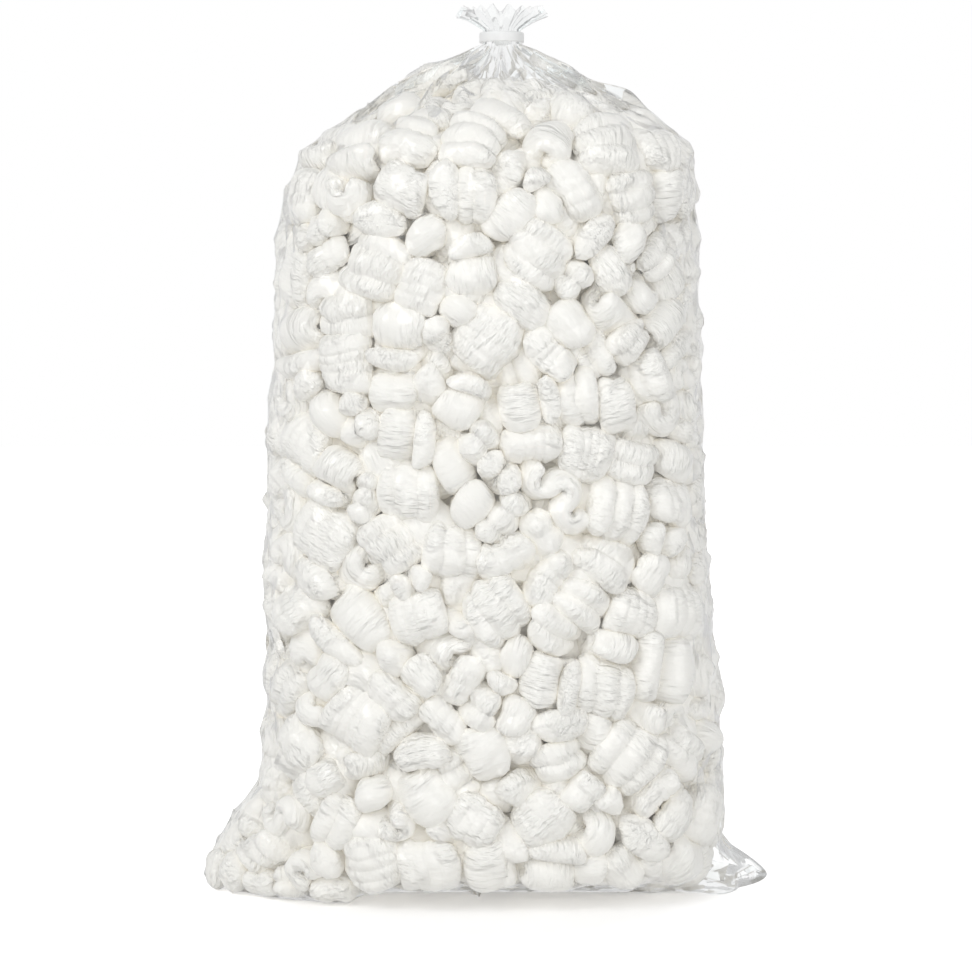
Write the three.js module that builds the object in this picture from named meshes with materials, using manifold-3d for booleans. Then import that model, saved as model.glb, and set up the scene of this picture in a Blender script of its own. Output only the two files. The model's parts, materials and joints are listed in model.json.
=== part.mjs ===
// A clear film bag of loose-fill polystyrene packing chips, standing upright, its neck gathered and tied.
// Millimetres. Z is up, X runs across the front, the front faces -Y and the floor is at z = 0.
import * as THREE from "three";
import { mergeVertices } from "three/addons/utils/BufferGeometryUtils.js";
import Module from "manifold-3d";

// Bag body, over the film
const BELLY_WIDTH = 235;
const BELLY_DEPTH = 138;
const SHOULDER_WIDTH = 205;
const SHOULDER_DEPTH = 164;
const SHOULDER_HEIGHT = 345;
const WAIST_SHIFT = 0.3; // the waist lies this far to the right of the middle
const WAIST_HEIGHT = 220;
const SQUARENESS = 2.5; // exponent of the body's section: 2 is an ellipse, more is boxier

// Foot: the patch that lies on the floor, and how high its rounded edge climbs to the belly
const FOOT_WIDTH = 196;
const FOOT_DEPTH = 92;
const FOOT_ROUND_HEIGHT = 40;

// Ears: the two sealed bottom corners, which stand out sideways past the belly
const LEFT_EAR_REACH = 28;
const LEFT_EAR_HEIGHT = 53;
const RIGHT_EAR_REACH = 21.5;
const RIGHT_EAR_HEIGHT = 25;
const EAR_SPREAD = 0.26; // sine of the angle at which an ear has faded to a third
const EAR_FULLNESS = 1.8; // exponent of an ear's outline: 1 is straight, 2 is round

// Neck: a short straight gather under the tie, with the open mouth standing above it
const NECK_SHIFT = 8; // the neck lies this far to the right of the bag's middle
const LEAN_BELOW = 10; // from where the bag starts to lean to its neck, up to the shoulder
const LEAN_ABOVE = 40; // from the shoulder up to where it lies under its neck
const NECK_RISE = 77; // from the shoulder up to the neck
const NECK_DIAMETER = 19;
const NECK_MARGIN = 1; // of straight neck above and below the tie
const SHOULDER_CURVE = 1.45; // exponent of the slope from the shoulder to the neck
const MOUTH_RISE = 15; // from the neck up to the mouth's rim
const MOUTH_DIAMETER = 46;
const PLEATS = 18;
const PLEAT_DEPTH = 0.25; // share of the neck's radius

// Film and fits
const FILM_WALL = 0.5;
const FILL_CLEARANCE = 0.3; // between the film and what it holds
const TIE_CLEARANCE = 0.3; // between the gathered film and its tie
const FILM_DIP = 3.5; // of the film where the gaps between chips meet under it
const DIP_BESIDE = 0.6; // share of that dip between two chips side by side
const DIP_ABOVE = 0.5; // share of it between one chip and the next above

// Tie: a plain band round the neck
const TIE_WIDTH = 5;
const TIE_THICKNESS = 1.2;
const TIE_EDGE = 0.4;
const TIE_SEGMENTS = 24;

// Fill: S-shaped chips in rows, heaped to a dome that stays below the neck
const HEADROOM = 18; // from the dome's peak up to the neck
const HEAP_CURVE = 1.72; // exponent of the slope from the shoulder to that peak
const FILL_SLACK = 1.2; // the flattest chips lie this far behind the film
const CHIPS_AROUND = 18;
const CHIP_ROWS = 13;
const GAP_DEPTH = 12; // of the gaps between chips
const SLOT_DEPTH = 6; // of the two slots that fold a chip into an S
const END_SINK = 2.5; // of the first and last run of its S, which rounds the chip off
const CHIP_STAND = 2.5; // the most that one chip lies behind the next
const CHIP_TILT = 0.35; // the most that a chip is turned from its row, in radians
const ROW_WANDER = 0.24; // the most that a row rises or dips, in chips
const COLUMN_WANDER = 0.2; // the most that a column sways, in chips
const DOME_CAP = 0.3; // share of the shoulder's radius at which the rows end and a plain cap closes the heap

// Facets: a chip is drawn on three columns and six lines, which is what its S needs
const COLUMNS = 3;
const LINES = 6;
const RING_LINES = 3; // the film has a ring at every third line
const RING_MARGIN = 8; // least height between those rings and the foot's and shoulder's own
const STAGGER = 1; // columns by which every other row of chips is stepped aside
const COLUMN_SPREAD = 0.3; // columns by which a chip's own are moved towards the gaps beside it
const SEGMENTS = COLUMNS * CHIPS_AROUND;
const FOOT_STEPS = 5;
const SHOULDER_STEPS = 4;
const LAST_LINE = LINES * CHIP_ROWS;
const SLOPE_STEP = 0.5; // height over which a wall's slope is taken

// The longer left ear moves the body right of the middle between the two ear tips.
const BODY_SHIFT = (LEFT_EAR_REACH - RIGHT_EAR_REACH) / 2;
const EAR_TOP = Math.max(LEFT_EAR_HEIGHT, RIGHT_EAR_HEIGHT, FOOT_ROUND_HEIGHT + FILM_WALL);
const NECK_BOTTOM = SHOULDER_HEIGHT + NECK_RISE;
const NECK_TOP = NECK_BOTTOM + TIE_WIDTH + 2 * NECK_MARGIN;
const MOUTH_HEIGHT = NECK_TOP + MOUTH_RISE;
const FILL_BOTTOM = FILM_WALL + FILL_CLEARANCE;
const FILL_HEIGHT = NECK_BOTTOM - HEADROOM;
const FULL_TURN = 2 * Math.PI;
const QUARTER = Math.PI / 2;
const CAP_CLIMB = (Math.acos(DOME_CAP) / QUARTER) ** (1 / HEAP_CURVE);
const CAP_HEIGHT = SHOULDER_HEIGHT + (FILL_HEIGHT - SHOULDER_HEIGHT) * CAP_CLIMB;

const wasm = await Module();
wasm.setup();

const blend = (from, to, share) => from + (to - from) * share;
const clamp01 = (value) => THREE.MathUtils.clamp(value, 0, 1);

// A repeatable series of numbers from -1 to 1.
function makeDice(seed) {
  const factor = 16807;
  const range = 2 ** 31 - 1;
  let state = seed;
  return () => {
    state = (state * factor) % range;
    return (2 * state) / range - 1;
  };
}

// Distance from a section's centre to its edge, for a rounded rectangle of that width and depth.
function sectionRadius(angle, width, depth) {
  const across = Math.abs(Math.cos(angle)) / (width / 2);
  const deep = Math.abs(Math.sin(angle)) / (depth / 2);
  return (across ** SQUARENESS + deep ** SQUARENESS) ** (-1 / SQUARENESS);
}

// Angles about the bag's axis that step evenly round the belly, from 0 to a full turn.
function evenAngles() {
  const corners = Array.from({ length: SEGMENTS }, (_, i) => {
    const angle = (i / SEGMENTS) * FULL_TURN;
    const radius = sectionRadius(angle, BELLY_WIDTH, BELLY_DEPTH);
    return new THREE.Vector3(radius * Math.cos(angle), radius * Math.sin(angle));
  });
  const ring = new THREE.CatmullRomCurve3(corners, true).getSpacedPoints(SEGMENTS);
  const inside = ring.slice(1, SEGMENTS).map(({ x, y }) => (Math.atan2(y, x) + FULL_TURN) % FULL_TURN);
  return [0, ...inside, FULL_TURN];
}
const ANGLES = evenAngles();

// The body's radius between the floor and the shoulder, with its rounded foot and its two ears.
function bodyRadius(angle, height, rightReach) {
  const rise = clamp01((height - FOOT_ROUND_HEIGHT) / (SHOULDER_HEIGHT - FOOT_ROUND_HEIGHT));
  const round = Math.sqrt(1 - (1 - clamp01(height / FOOT_ROUND_HEIGHT)) ** 2);
  const width = blend(blend(FOOT_WIDTH, BELLY_WIDTH, round), SHOULDER_WIDTH, rise);
  const depth = blend(blend(FOOT_DEPTH, BELLY_DEPTH, round), SHOULDER_DEPTH, rise);
  const left = Math.cos(angle) < 0;
  const earHeight = left ? LEFT_EAR_HEIGHT : RIGHT_EAR_HEIGHT;
  const earReach = left ? LEFT_EAR_REACH : rightReach;
  const out = earReach > 0 ? 1 - clamp01(height / earHeight) ** EAR_FULLNESS : 0;
  const tip = blend(width / 2, BELLY_WIDTH / 2 + out * earReach, out);
  const fade = Math.exp(-((Math.sin(angle) / EAR_SPREAD) ** 2));
  return sectionRadius(angle, width, depth) + (tip - width / 2) * fade;
}

// The share of the shoulder's radius that is left on the way up to a top at the given height.
function shoulderShare(height, top, curve) {
  const climb = clamp01((height - SHOULDER_HEIGHT) / (top - SHOULDER_HEIGHT));
  return Math.cos(QUARTER * climb ** curve);
}

// The film's outer radius at any height up to the mouth, pleated from the shoulder on.
function filmRadius(angle, height, turn) {
  const body = bodyRadius(angle, Math.min(height, SHOULDER_HEIGHT), RIGHT_EAR_REACH);
  if (height <= SHOULDER_HEIGHT) return body;
  const share = shoulderShare(height, NECK_BOTTOM, SHOULDER_CURVE);
  const flare = clamp01((height - NECK_TOP) / (MOUTH_HEIGHT - NECK_TOP));
  const gathered = blend(NECK_DIAMETER, MOUTH_DIAMETER, flare) / 2;
  const fold = 0.5 - 0.5 * Math.cos((FULL_TURN * PLEATS * turn) / SEGMENTS);
  const pleat = 1 - PLEAT_DEPTH * fold * (1 - share);
  return blend(gathered, body, share) * pleat;
}

// The heap's outer radius, up to the dome of chips under the gathered film. The right ear holds no chips.
function heapRadius(angle, height) {
  const body = bodyRadius(angle, Math.min(height, SHOULDER_HEIGHT), 0);
  return body * shoulderShare(height, FILL_HEIGHT, HEAP_CURVE);
}

// The bag's axis sways from the middle of its foot over its waist to its neck.
function axisAt(height) {
  const { smoothstep } = THREE.MathUtils;
  const waist = blend(BODY_SHIFT, WAIST_SHIFT, smoothstep(height, EAR_TOP, WAIST_HEIGHT));
  const lean = smoothstep(height, SHOULDER_HEIGHT - LEAN_BELOW, SHOULDER_HEIGHT + LEAN_ABOVE);
  return blend(waist, NECK_SHIFT, lean);
}

// A list read between two of its entries.
function between(list, place) {
  const first = THREE.MathUtils.clamp(Math.floor(place), 0, list.length - 2);
  return blend(list[first], list[first + 1], place - first);
}

// Heights from one level up to another, without the first, crowded towards it by a power over 1.
function levels(from, to, steps, power = 1) {
  return Array.from({ length: steps }, (_, i) => blend(from, to, ((i + 1) / steps) ** power));
}

// Turns a line of points about the Z axis, and then puts each point where place(line index, turn) says.
// From the line index innerFrom on, each square is split along its other diagonal, because an inner wall
// runs down where the outer one runs up, and the two must bend along the same lines.
function turnedGeometry(count, place, innerFrom = count) {
  const line = Array.from({ length: count }, (_, i) => new THREE.Vector2(i, i));
  const turned = new THREE.LatheGeometry(line, SEGMENTS);
  const position = turned.getAttribute("position");
  for (let k = 0; k < position.count; k++) {
    const { angle, radius, height } = place(k % count, Math.floor(k / count) % SEGMENTS);
    const across = axisAt(height) + radius * Math.cos(angle);
    position.setXYZ(k, across, radius * Math.sin(angle), height);
  }
  for (let square = 0; square < turned.index.count; square += 6) {
    const first = turned.index.getX(square);
    if (first % count < innerFrom) continue;
    const corners = [first, first + count, first + count + 1, first, first + count + 1, first + 1];
    corners.forEach((corner, i) => turned.index.setX(square + i, corner));
  }
  return closedGeometry(turned);
}

// Only positions, with shared corners merged, so that the surface is closed.
function closedGeometry(geometry) {
  const bare = geometry.clone();
  bare.deleteAttribute("normal");
  bare.deleteAttribute("uv");
  return mergeVertices(bare);
}

function solidOf(geometry) {
  return new wasm.Manifold(
    new wasm.Mesh({
      numProp: 3,
      vertProperties: geometry.getAttribute("position").array,
      triVerts: new Uint32Array(geometry.index.array),
    }),
  );
}

function geometryOf(solid) {
  const { vertProperties, triVerts } = solid.getMesh();
  return new THREE.BufferGeometry()
    .setAttribute("position", new THREE.BufferAttribute(vertProperties, 3))
    .setIndex(new THREE.BufferAttribute(triVerts, 1));
}

// Rows rise and dip and columns sway, most at mid height, so that the chips lie in no straight line.
function wander(high, turn) {
  // So many waves round the bag, turned by so many radians from its foot to its top.
  const wave = (round, twist) => Math.sin((FULL_TURN * round * turn) / SEGMENTS + twist * high);
  const fade = Math.sin(Math.PI * high) / 2;
  return {
    aside: fade * COLUMN_WANDER * COLUMNS * (wave(5, 31) + wave(8, -47)),
    up: fade * ROW_WANDER * LINES * (wave(7, 25) + wave(11, -37)),
  };
}

// Heights of the chips' lines, evenly spaced up the front of the heap to the cap that closes its dome.
function lineHeights() {
  const climb = [FILL_BOTTOM, ...levels(FILL_BOTTOM, CAP_HEIGHT, LAST_LINE)];
  const front = climb.map((height) => new THREE.Vector3(0, -heapRadius(-QUARTER, height), height));
  return new THREE.CatmullRomCurve3(front).getSpacedPoints(LAST_LINE).map((point) => point.z);
}
const LINE_HEIGHTS = lineHeights();

// Where a line crosses a column, moved by so many columns and lines.
function crossing(line, turn, aside = 0, up = 0) {
  const sway = wander(line / LAST_LINE, turn);
  return {
    angle: between(ANGLES, (turn + sway.aside + aside + SEGMENTS) % SEGMENTS),
    height: between(LINE_HEIGHTS, line + sway.up + up),
  };
}

// The row of chips that a line belongs to.
function rowOf(line) {
  return THREE.MathUtils.clamp(Math.floor(line / LINES), 0, CHIP_ROWS - 1);
}

// How many columns of its row a turn has passed, from the row's first chip on.
function stepped(row, turn) {
  return turn + (row % 2) * STAGGER;
}

// A column's place within its chip, where 0 is the gap before it.
function columnIn(row, turn) {
  return stepped(row, turn) % COLUMNS;
}

// How far the film dips at one of its rings: not over a chip's middle, and most where gaps meet.
function ringDip(line, turn) {
  const row = rowOf(line);
  const inGap = columnIn(row, turn) === 0;
  if (line % LINES !== 0) return inGap ? DIP_BESIDE * FILM_DIP : 0;
  const overGap = inGap || columnIn(Math.max(row - 1, 0), turn) === 0;
  return overGap ? FILM_DIP : DIP_ABOVE * FILM_DIP;
}

// How far the film dips at any line, straight from ring to ring.
function filmDip(line, turn) {
  const ring = Math.floor(line / RING_LINES) * RING_LINES;
  return blend(ringDip(ring, turn), ringDip(ring + RING_LINES, turn), (line - ring) / RING_LINES);
}

// The film's rings: by height over the round foot and shoulder, and by line over the rows of chips between.
const RINGS = [
  ...[0, ...levels(0, FOOT_ROUND_HEIGHT, FOOT_STEPS, 2), EAR_TOP].map((height) => ({ height })),
  ...LINE_HEIGHTS.map((height, line) => ({ height, line })).filter(
    ({ height, line }) =>
      line % RING_LINES === 0 && height > EAR_TOP + RING_MARGIN && height < SHOULDER_HEIGHT - RING_MARGIN,
  ),
  ...[SHOULDER_HEIGHT, ...levels(SHOULDER_HEIGHT, NECK_BOTTOM, SHOULDER_STEPS)].map((height) => ({ height })),
];

// A point of the wall, drawn in square to it. The foot's edge is drawn in and up, and the mouth only in.
function wallPoint(turn, ring, inset) {
  const onChips = ring.line !== undefined;
  const { angle, height } = onChips ? crossing(ring.line, turn) : { ...ring, angle: ANGLES[turn] };
  const radius = filmRadius(angle, height, turn) - (onChips ? filmDip(ring.line, turn) : 0);
  if (height === 0) return { angle, radius: radius - inset, height: inset };
  const above = filmRadius(angle, height + SLOPE_STEP, turn);
  const below = filmRadius(angle, height - SLOPE_STEP, turn);
  const slope = height > NECK_BOTTOM ? 0 : (above - below) / (2 * SLOPE_STEP);
  const square = inset / Math.hypot(1, slope);
  return { angle, radius: radius - square, height: height + slope * square };
}

// The film: from the middle of the foot up the outside, over the mouth's rim and down the inside.
function filmGeometry() {
  const rings = [...RINGS, { height: NECK_TOP }, { height: MOUTH_HEIGHT }];
  const outside = rings.map((ring) => ({ ring, inset: 0 }));
  const inside = rings.map((ring) => ({ ring, inset: FILM_WALL }));
  const path = [...outside, ...inside.reverse()];
  const place = (i, turn) => {
    if (i === 0) return { angle: 0, radius: 0, height: 0 };
    if (i > path.length) return { angle: 0, radius: 0, height: FILM_WALL };
    return wallPoint(turn, path[i - 1].ring, path[i - 1].inset);
  };
  return turnedGeometry(path.length + 2, place, rings.length);
}

// The room inside the film that the chips may take, closed at the neck.
function roomGeometry() {
  return turnedGeometry(RINGS.length + 2, (i, turn) => {
    if (i === 0) return { angle: 0, radius: 0, height: FILL_BOTTOM };
    if (i > RINGS.length) return { angle: 0, radius: 0, height: NECK_BOTTOM };
    return wallPoint(turn, RINGS[i - 1], FILM_WALL + FILL_CLEARANCE);
  });
}

// How far one point of a chip lies behind its face: 0 on the middle run of its S, more in its two slots.
function chipRelief(column, line, mirrored) {
  if (column === 0 || line === 0) return GAP_DEPTH;
  const fold = (line === 2) === mirrored ? 1 : COLUMNS - 1;
  const inSlot = line % 2 === 0 && column !== fold;
  const atEnd = line === 1 || line === LINES - 1;
  return inSlot ? SLOT_DEPTH : atEnd ? END_SINK : 0;
}

// The heap: a wall of chips in stepped rows on the plain mass of those behind them, under a plain cap.
function fillGeometry() {
  const dice = makeDice(7);
  const chips = Array.from({ length: CHIP_ROWS * CHIPS_AROUND }, () => ({
    mirrored: dice() > 0,
    tilt: CHIP_TILT * dice(),
    stand: CHIP_STAND * Math.abs(dice()),
  }));
  const slack = FILM_WALL + FILL_CLEARANCE + FILL_SLACK;

  const heap = turnedGeometry(LAST_LINE + 3, (i, turn) => {
    const line = i - 1;
    if (line < 0) return { angle: 0, radius: 0, height: FILL_BOTTOM };
    if (line > LAST_LINE) return { angle: 0, radius: 0, height: CAP_HEIGHT };
    const row = rowOf(line);
    const column = columnIn(row, turn);
    const chip = chips[row * CHIPS_AROUND + (Math.floor(stepped(row, turn) / COLUMNS) % CHIPS_AROUND)];
    const face = column !== 0 && line % LINES !== 0;
    // A chip's own points turn about its middle, and the gaps round it stay where they are.
    const across = face ? column - COLUMNS / 2 : 0;
    const along = face ? (line % LINES) - LINES / 2 : 0;
    const aside = 2 * COLUMN_SPREAD * across + chip.tilt * along * (COLUMNS / LINES);
    const { angle, height } = crossing(line, turn, aside, -chip.tilt * across * (LINES / COLUMNS));
    const relief = chipRelief(column, line % LINES, chip.mirrored) + (face ? chip.stand : 0);
    const behind = slack + Math.max(relief, filmDip(line, turn));
    return { angle, radius: heapRadius(angle, height) - behind, height };
  });
  return geometryOf(solidOf(heap).intersect(solidOf(roomGeometry())));
}

// The tie: a band with eased edges, whose inner flats stand on the crests of the pleats.
function tieGeometry() {
  const inner = (NECK_DIAMETER / 2 + TIE_CLEARANCE) / Math.cos(Math.PI / TIE_SEGMENTS);
  const outer = inner + TIE_THICKNESS;
  const half = TIE_WIDTH / 2;
  const section = [
    [inner, -half],
    [outer - TIE_EDGE, -half],
    [outer, TIE_EDGE - half],
    [outer, half - TIE_EDGE],
    [outer - TIE_EDGE, half],
    [inner, half],
    [inner, -half],
  ];
  const band = new THREE.LatheGeometry(section.map(([x, y]) => new THREE.Vector2(x, y)), TIE_SEGMENTS);
  return closedGeometry(band.rotateX(QUARTER));
}

function makePart(name, geometry, finish) {
  const mesh = new THREE.Mesh(geometry, new THREE.MeshStandardMaterial({ metalness: 0, ...finish }));
  mesh.name = name;
  return mesh;
}

const film = makePart("film_bag", filmGeometry(), {
  color: 0xf2f4f5,
  roughness: 0.15,
  transparent: true,
  opacity: 0.2,
});
const fill = makePart("chip_fill", fillGeometry(), { color: 0xf4f2ec, roughness: 0.8 });
const tie = makePart("neck_tie", tieGeometry(), { color: 0xe9ebec, roughness: 0.4 });
tie.position.set(NECK_SHIFT, 0, (NECK_BOTTOM + NECK_TOP) / 2);

const bag = new THREE.Group();
bag.add(film, fill, tie);

export default bag;
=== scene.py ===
"""Looks of a clear film bag of loose-fill polystyrene packing chips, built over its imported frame.

Metres. Z is up, X runs across the front and the front faces -Y.
"""

import json
import math
from collections import namedtuple

import bpy
import numpy as np
from bpy.props import FloatProperty, FloatVectorProperty, IntProperty, PointerProperty
from mathutils import Matrix, Quaternion, Vector
from mathutils.bvhtree import BVHTree

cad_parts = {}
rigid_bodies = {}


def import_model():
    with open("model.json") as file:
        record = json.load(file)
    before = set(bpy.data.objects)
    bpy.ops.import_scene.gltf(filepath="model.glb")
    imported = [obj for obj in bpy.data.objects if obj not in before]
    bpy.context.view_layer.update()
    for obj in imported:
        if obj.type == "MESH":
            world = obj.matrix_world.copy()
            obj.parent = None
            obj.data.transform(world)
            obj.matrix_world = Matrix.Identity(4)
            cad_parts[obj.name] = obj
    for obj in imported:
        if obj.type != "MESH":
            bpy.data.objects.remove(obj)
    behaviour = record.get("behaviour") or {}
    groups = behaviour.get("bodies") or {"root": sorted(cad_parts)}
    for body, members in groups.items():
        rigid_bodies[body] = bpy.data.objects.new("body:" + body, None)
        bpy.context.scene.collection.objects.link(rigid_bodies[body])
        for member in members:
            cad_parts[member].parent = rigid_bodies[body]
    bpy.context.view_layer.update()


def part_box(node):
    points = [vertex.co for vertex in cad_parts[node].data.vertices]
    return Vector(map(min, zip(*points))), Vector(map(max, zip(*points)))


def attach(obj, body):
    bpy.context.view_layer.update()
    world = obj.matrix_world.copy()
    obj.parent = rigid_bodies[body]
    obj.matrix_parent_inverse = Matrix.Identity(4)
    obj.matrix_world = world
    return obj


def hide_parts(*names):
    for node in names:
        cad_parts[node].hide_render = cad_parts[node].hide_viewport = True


bl_info = {
    "name": "Bag of packing chips",
    "version": (1, 0, 0),
    "blender": (4, 5, 0),
    "location": "3D View > Sidebar > Packing",
    "description": "Fills a clear film bag with polystyrene packing chips",
    "category": "Object",
}

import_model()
FILM_LOW, FILM_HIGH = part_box("film_bag")
TIE_LOW, TIE_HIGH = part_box("neck_tie")

MM = 0.001
FULL_TURN = 2 * math.pi
QUARTER = math.pi / 2

# A kind of chip: the turns of its ribbon in degrees, then in mm its bend, its straight ends, half its
# thickness, its width and the pitch and depth of its flutes, and last its share of the stock.
ChipKind = namedtuple("ChipKind", "turns bend lead half width pitch flute share")
CHIP_KINDS = (
    ChipKind((206, -206), 5.3, 6.2, 5.6, 30, 9.2, 0.5, 8),
    ChipKind((202, -210), 5.4, 5.5, 5.7, 26, 9.6, 0.6, 6),
    ChipKind((212, -212), 5.2, 4.8, 5.4, 16, 9.0, 0.4, 5),
    ChipKind((202, -206, 202), 5.0, 4.6, 5.0, 24, 8.0, 0.4, 2),
    ChipKind((206,), 5.4, 8.0, 5.8, 26, 8.8, 0.7, 4),
    ChipKind((190,), 5.6, 6.0, 5.7, 16, 9.4, 0.4, 3),
    ChipKind((24,), 45, 6.0, 8.6, 30, 10.3, 3.0, 13),
    ChipKind((-16,), 45, 4.2, 8.2, 27, 10.5, 2.8, 9),
    ChipKind((28,), 40, 5.5, 8.8, 28, 5.1, 0.9, 11),
    ChipKind((50,), 22, 4.5, 7.0, 18, 4.7, 0.8, 9),
    ChipKind((40,), 20, 4.0, 7.2, 19, 11.0, 0.9, 8),
)
CHIPS_OF_A_KIND = 4

# Small chips that lie in the left ear to start with: share of its reach, depth and height
EAR_PLACES = (
    (0.72, 0, 9 * MM),
    (0.5, -9 * MM, 22 * MM),
    (0.45, 10 * MM, 20 * MM),
    (0.3, 0, 33 * MM),
    (0.2, -14 * MM, 9 * MM),
    (0.2, 14 * MM, 9 * MM),
)

# The outer chips start in the solid's stepped, wandering rows, counted in its columns and lines.
CHIPS_AROUND = 18
CHIP_ROWS = 13
COLUMNS = 3  # a chip takes so many
LINES = 6
STAGGER = 1  # columns by which every other row is stepped aside
COLUMN_WANDER = 0.2  # in chips
ROW_WANDER = 0.24
CHIP_STAND = 2.5 * MM  # the most that one chip lies behind the next
DOME_CAP = 0.3  # share of the shoulder's radius at which the rows end

BANDS = ("lowest", "lower", "middle", "upper", "top")  # the heap is cut into one piece for each
LINE_POINTS = 240  # along a chip's middle line while it is drawn

# A chip's faces: steps over each rounded end, along its ribbon, over each edge and across each broad side
ChipSteps = namedtuple("ChipSteps", "end ribbon edge side")
FINE = ChipSteps(4, 30, 4, 4)
COARSE = ChipSteps(2, 12, 2, 2)  # for chips that others hide
HIDDEN = 28 * MM  # chips whose middle lies deeper than this are coarse

HEAP_ROUNDS = 420  # of swelling and pushing
SWELLING = 0.62  # share of the rounds in which the chips swell
SMALLEST = 0.5  # share of its size at which a chip starts
WALL_CLEAR = 1.5 * MM  # that the chips keep from the bag's shape
TOP_SPEED = 0.25  # radians that a chip turns in a round, at the most

# The film's faces
FILM_COLUMNS = 340
FOOT_ROWS = 14
WALL_ROWS = 250
NECK_ROWS = 5
TUFT_ROWS = 10
TIGHTEN_ROUNDS = 400
LOOK_OUT = 12 * MM  # from this far outside the film, chips are looked for
LOOK_IN = 40 * MM  # down to this far inside it
SAG = 9 * MM  # the most that the film dips between chips
SHOULDER_SAG = 6.5 * MM
SLACK = 8 * MM  # free of the chips by this much, the film folds and crumples fully
STILL = 0.25  # share of the crinkles that tight film has


def linear(code):
    """An sRGB hex colour as linear red, green, blue and alpha."""
    parts = [int(code[i : i + 2], 16) / 255 for i in (0, 2, 4)]
    return [c / 12.92 if c <= 0.04045 else ((c + 0.055) / 1.055) ** 2.4 for c in parts] + [1.0]


def length(name, description, default):
    return FloatProperty(name=name, description=description, default=default, unit="LENGTH", precision=4)


def factor(name, description, default):
    return FloatProperty(name=name, description=description, default=default)


def colour(name, description, default):
    return FloatVectorProperty(
        name=name, description=description, default=linear(default), subtype="COLOR", size=4
    )


class BagForm(bpy.types.PropertyGroup):
    belly_width: length("Belly width", "Across the bag above its foot", 235 * MM)
    belly_depth: length("Belly depth", "Through the bag above its foot", 138 * MM)
    shoulder_width: length("Shoulder width", "Across the bag at its shoulder", 205 * MM)
    shoulder_depth: length("Shoulder depth", "Through the bag at its shoulder", 164 * MM)
    shoulder_height: length("Shoulder height", "Where the film starts to close in", 345 * MM)
    foot_width: length("Foot width", "Across the patch that lies on the floor", 196 * MM)
    foot_depth: length("Foot depth", "Through the patch that lies on the floor", 92 * MM)
    foot_round: length("Foot round", "How high the foot's rounded edge climbs", 40 * MM)
    front_lift: length("Front lift", "How far the foot's front edge is off the floor", 9 * MM)
    left_ear_reach: length("Left ear reach", "How far the left ear stands out", 28 * MM)
    left_ear_height: length("Left ear height", "Where the left ear starts", 53 * MM)
    right_ear_reach: length("Right ear reach", "How far the right ear stands out", 21.5 * MM)
    right_ear_height: length("Right ear height", "Where the right ear starts", 25 * MM)
    waist_shift: length("Waist shift", "Place of the waist across the bag", 0.3 * MM)
    neck_shift: length("Neck shift", "Place of the neck across the bag", (TIE_LOW.x + TIE_HIGH.x) / 2)
    neck_bottom: length("Neck bottom", "Where the gathered neck starts", TIE_LOW.z - MM)
    neck_top: length("Neck top", "Where the neck opens to its tuft", TIE_HIGH.z + MM)
    neck_width: length("Neck width", "Across the gathered neck", 19 * MM)
    mouth_width: length("Mouth width", "Across the open tuft", 46 * MM)
    mouth_height: length("Mouth height", "Height of the tuft's rim", FILM_HIGH.z - 6 * MM)
    squareness: factor("Squareness", "2 is an ellipse, more is boxier", 2.5)
    shoulder_curve: factor("Shoulder curve", "Fullness of the shoulder", 1.45)
    ear_spread: factor("Ear spread", "Sine of the angle an ear takes", 0.26)
    ear_fullness: factor("Ear fullness", "1 is straight, 2 is round", 1.5)
    ear_tip: length("Ear tip", "Height of the ears' tips", 7 * MM)


class ChipStock(bpy.types.PropertyGroup):
    count: IntProperty(name="Chips", description="How many chips fill the bag", default=980)
    seed: IntProperty(name="Seed", description="Picks one way to heap them", default=3)
    heap_height: length("Heap height", "Peak of the heap of chips", 404 * MM)
    heap_curve: factor("Heap curve", "Fullness of the heap's dome", 1.72)
    press: length("Press", "How far the outer chips are pressed to the film in a round", 0.12 * MM)
    hold: factor("Hold", "How far an outer chip is drawn back to its row", 0.04)
    squeeze: factor("Squeeze", "How far outer chips press into each other", 1.08)
    crush: factor("Crush", "The same for inner chips, at the most", 1.8)
    foam: colour("Foam", "Colour of the chips", "FEFCF7")


class FilmStock(bpy.types.PropertyGroup):
    gap: length("Gap", "Between the film and the chips that touch it", 0.3 * MM)
    fold_depth: length("Fold depth", "Of the folds that run up to the neck", 5 * MM)
    crumple: length("Crumple", "Depth of the creases where the film is slack", 3 * MM)
    folds: IntProperty(name="Folds", description="Folds round the neck", default=24)
    tint: colour("Tint", "Colour of the film", "FDFEFE")


def mix(start, end, share):
    return start + (end - start) * share


def share_of(value, start, end):
    return np.clip((value - start) / (end - start), 0, 1)


def smooth_share(value, start, end):
    part = share_of(value, start, end)
    return part * part * (3 - 2 * part)


def body_shift(form):
    """The middle of the bag's body, which the longer left ear moves off the middle of the frame."""
    return FILM_LOW.x + form.left_ear_reach + form.belly_width / 2


def section_radius(form, cosine, sine, width, depth):
    """From a section's middle to its edge, for a rounded rectangle of that width and depth."""
    across = (np.abs(cosine) / (width / 2)) ** form.squareness
    deep = (np.abs(sine) / (depth / 2)) ** form.squareness
    return (across + deep) ** (-1 / form.squareness)


def even_angles(form, count):
    """So many angles about the bag's axis that step evenly round the belly."""
    fine = np.linspace(0, FULL_TURN, 4001)
    radius = section_radius(form, np.cos(fine), np.sin(fine), form.belly_width, form.belly_depth)
    ring = np.stack([radius * np.cos(fine), radius * np.sin(fine)], 1)
    run = np.concatenate([[0], np.cumsum(np.linalg.norm(np.diff(ring, axis=0), axis=1))])
    return np.interp(np.arange(count) / count * run[-1], run, fine)


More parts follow.
